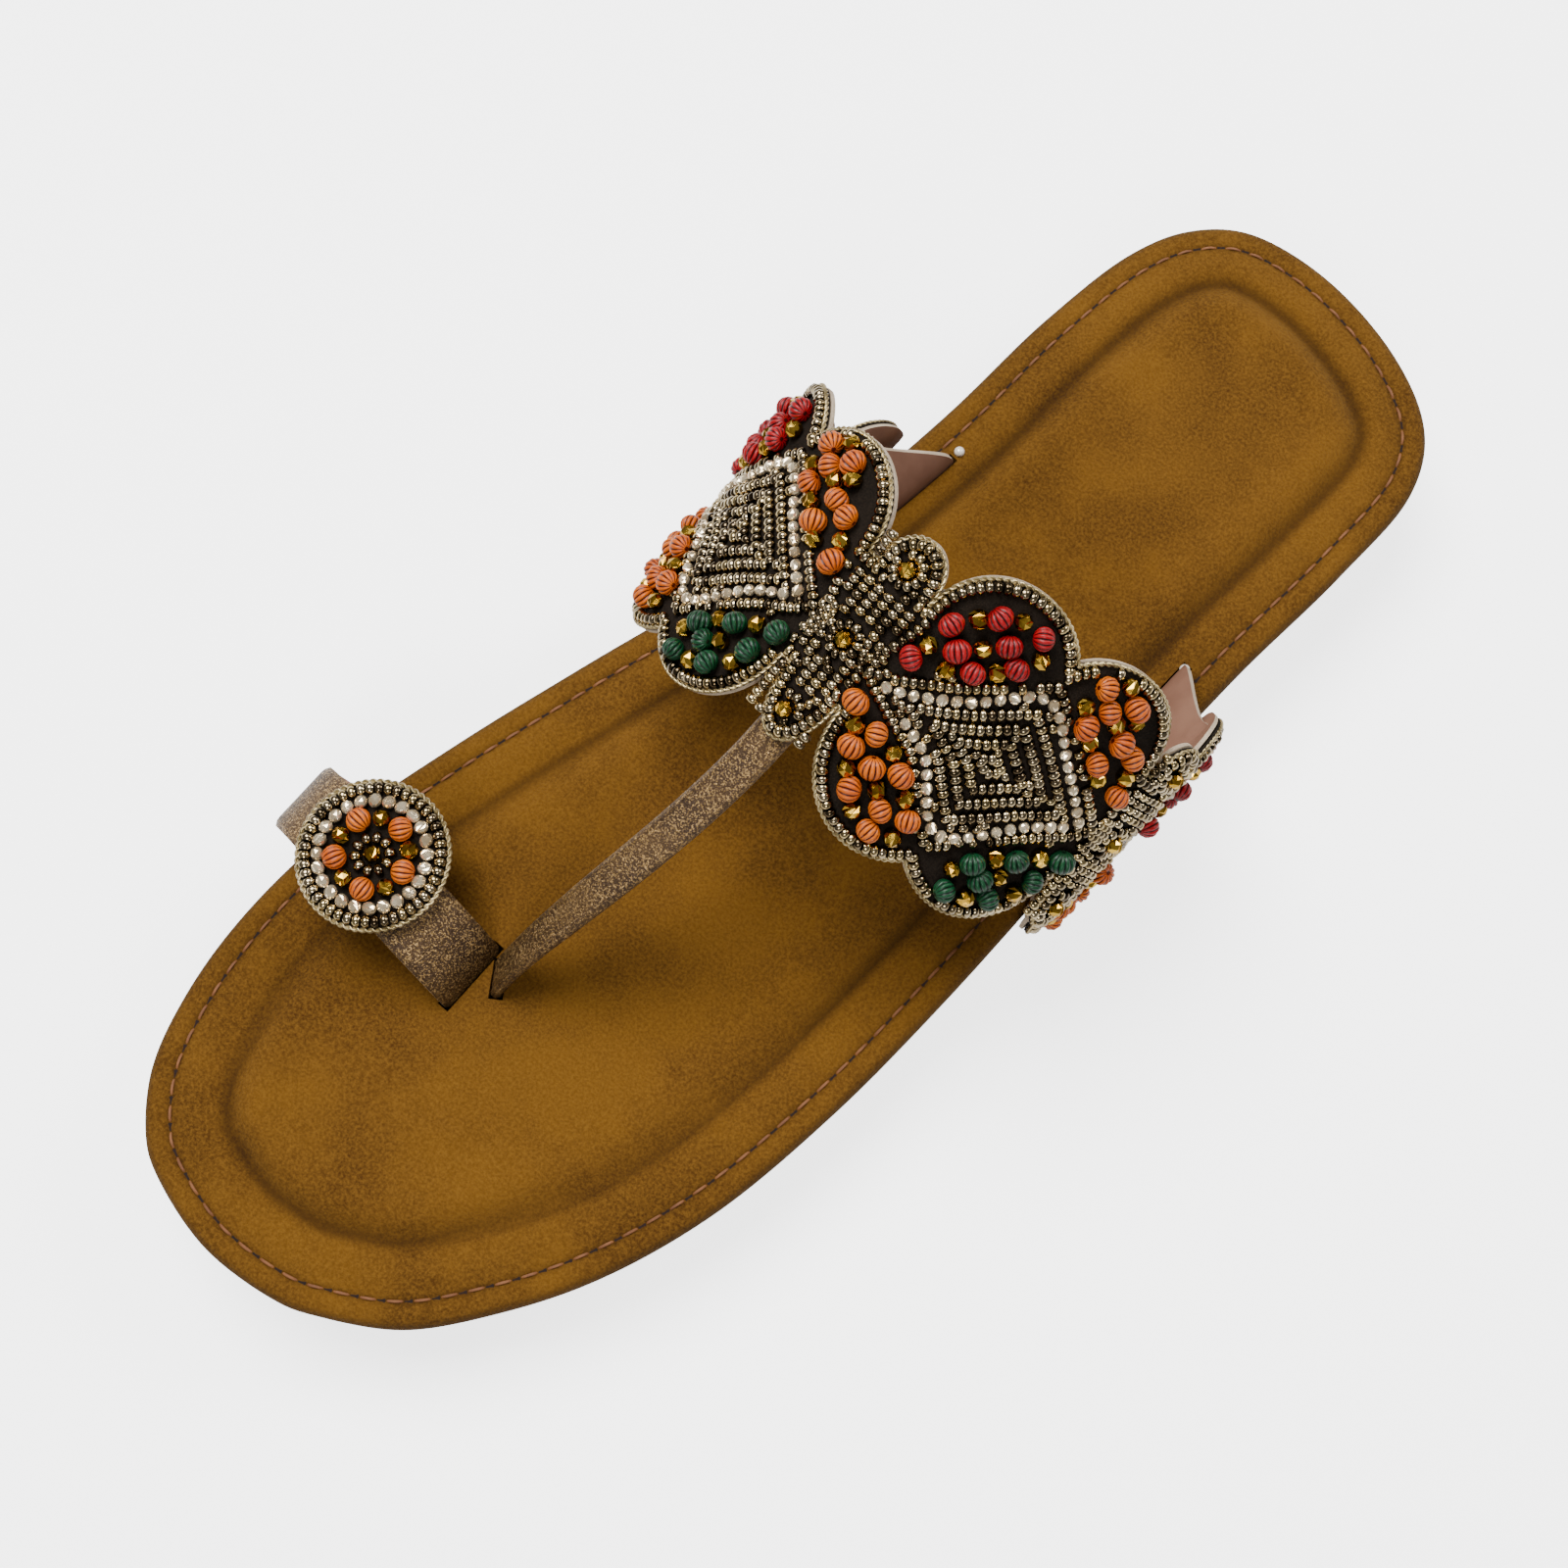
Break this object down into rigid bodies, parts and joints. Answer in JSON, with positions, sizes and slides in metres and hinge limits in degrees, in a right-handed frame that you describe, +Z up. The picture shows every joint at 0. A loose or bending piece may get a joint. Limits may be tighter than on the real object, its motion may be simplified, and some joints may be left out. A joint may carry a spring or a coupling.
{
  "type": "beaded kolhapuri sandal",
  "caption": "Left kolhapuri toe-loop sandal with a beaded instep band, a round beaded toe medallion, a T strap, a cushioned suede footbed and a lugged rubber outsole.",
  "frame": {"origin": "middle of the sandal's bounding box on the floor it stands on", "axes": "+Z up from the floor, toe towards -Y and heel towards +Y, outer (little toe) side towards +X"},
  "size_m": [0.1056, 0.2498, 0.0805],
  "materials": {
    "outsole_rubber": "dark reddish brown rubber, satin, moulded lugs",
    "footbed_suede": "camel brown mottled suede with a light stitch line",
    "band_beadwork": "black cloth covered with silver and gunmetal seed beads, melon beads and gold cord",
    "t_strap_leather": "bronze glitter leather with folded edges",
    "toe_loop_leather": "bronze glitter leather with a pinkish lining",
    "medallion_beadwork": "round cloth disc with seed beads, crystals, melon beads and gold cord"
  },
  "bodies": {
    "root": {"outsole": "outsole_rubber", "footbed": "footbed_suede", "vamp_band": "band_beadwork", "t_strap": "t_strap_leather", "toe_loop": "toe_loop_leather", "toe_medallion": "medallion_beadwork"}
  },
  "joints": []
}
